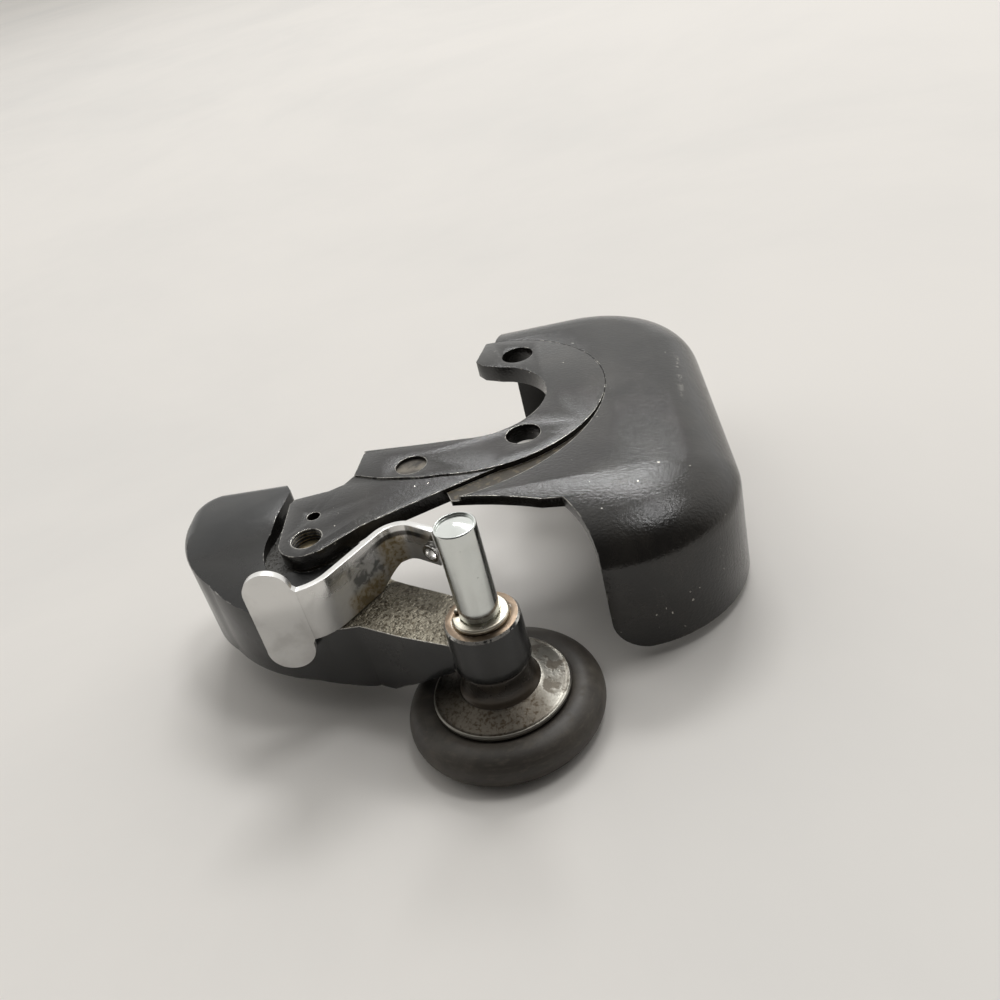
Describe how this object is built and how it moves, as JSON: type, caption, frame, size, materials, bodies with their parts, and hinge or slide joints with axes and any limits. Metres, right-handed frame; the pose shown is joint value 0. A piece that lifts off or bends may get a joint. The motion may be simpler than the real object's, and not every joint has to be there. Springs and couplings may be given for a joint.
{
  "type": "sewing bobbin winder",
  "caption": "Bobbin winder on a belt guard: a swinging cast arm with a rubber-tyred friction wheel, an upright bobbin spindle and a sheet metal stop latch.",
  "frame": {"origin": "centre of the bracket's round collar cut-out, on the bracket's flat top face", "axes": "+Z along the bobbin spindle towards its tip, square to the bracket's top face; +X from the cut-out towards the belt guard's closed side; +Y from the spindle towards the bracket's far screw hole"},
  "size_m": [0.0925, 0.1007, 0.0371],
  "materials": {
    "dark_enamel": "worn glossy black enamel",
    "frame_enamel": "worn glossy black enamel with a rough cast top",
    "nickel_steel": "bright plating with turning marks",
    "latch_plate": "stained bright sheet metal",
    "worn_flange": "worn plating, brown at one side",
    "dark_hub": "dark oiled metal",
    "bronze": "dull bronze",
    "rubber": "dark matte rubber with rub marks",
    "screw_steel": "yellowed steel",
    "plug_metal": "dull brown iron",
    "cream_steel": "pale bright steel"
  },
  "bodies": {
    "guard": {"guard_bracket": "dark_enamel", "belt_shroud": "dark_enamel", "shroud_rivets": "screw_steel", "blind_plug": "plug_metal", "pivot_screw": "screw_steel", "pivot_washer": "screw_steel"},
    "frame": {"winder_frame": "frame_enamel", "upper_bush": "bronze", "lower_bush": "bronze", "latch_stud": "screw_steel", "latch_washer": "screw_steel"},
    "spindle": {"bobbin_spindle": "nickel_steel", "retaining_clip": "cream_steel", "wheel_hub": "dark_hub", "upper_flange": "worn_flange", "lower_flange": "worn_flange", "rubber_tyre": "rubber", "wheel_washer": "screw_steel", "wheel_nut": "screw_steel"},
    "latch": {"stop_latch": "latch_plate", "finger_eyelet": "nickel_steel"}
  },
  "joints": [
    {"name": "frame_swing", "type": "hinge", "parent": "guard", "child": "frame", "pos_m": [-0.0283, -0.0326, 0], "axis": [0, 0, 1], "range_deg": [0, 6.5], "stiffness_Nm_per_rad": 0.05},
    {"name": "spindle_spin", "type": "hinge", "parent": "frame", "child": "spindle", "pos_m": [-0.001, -0.0538, 0], "axis": [0, 0, 1], "continuous": true},
    {"name": "latch_swing", "type": "hinge", "parent": "frame", "child": "latch", "pos_m": [-0.0226, -0.0416, 0], "axis": [0, 0, 1], "range_deg": [-3, 14], "stiffness_Nm_per_rad": 0.01}
  ]
}
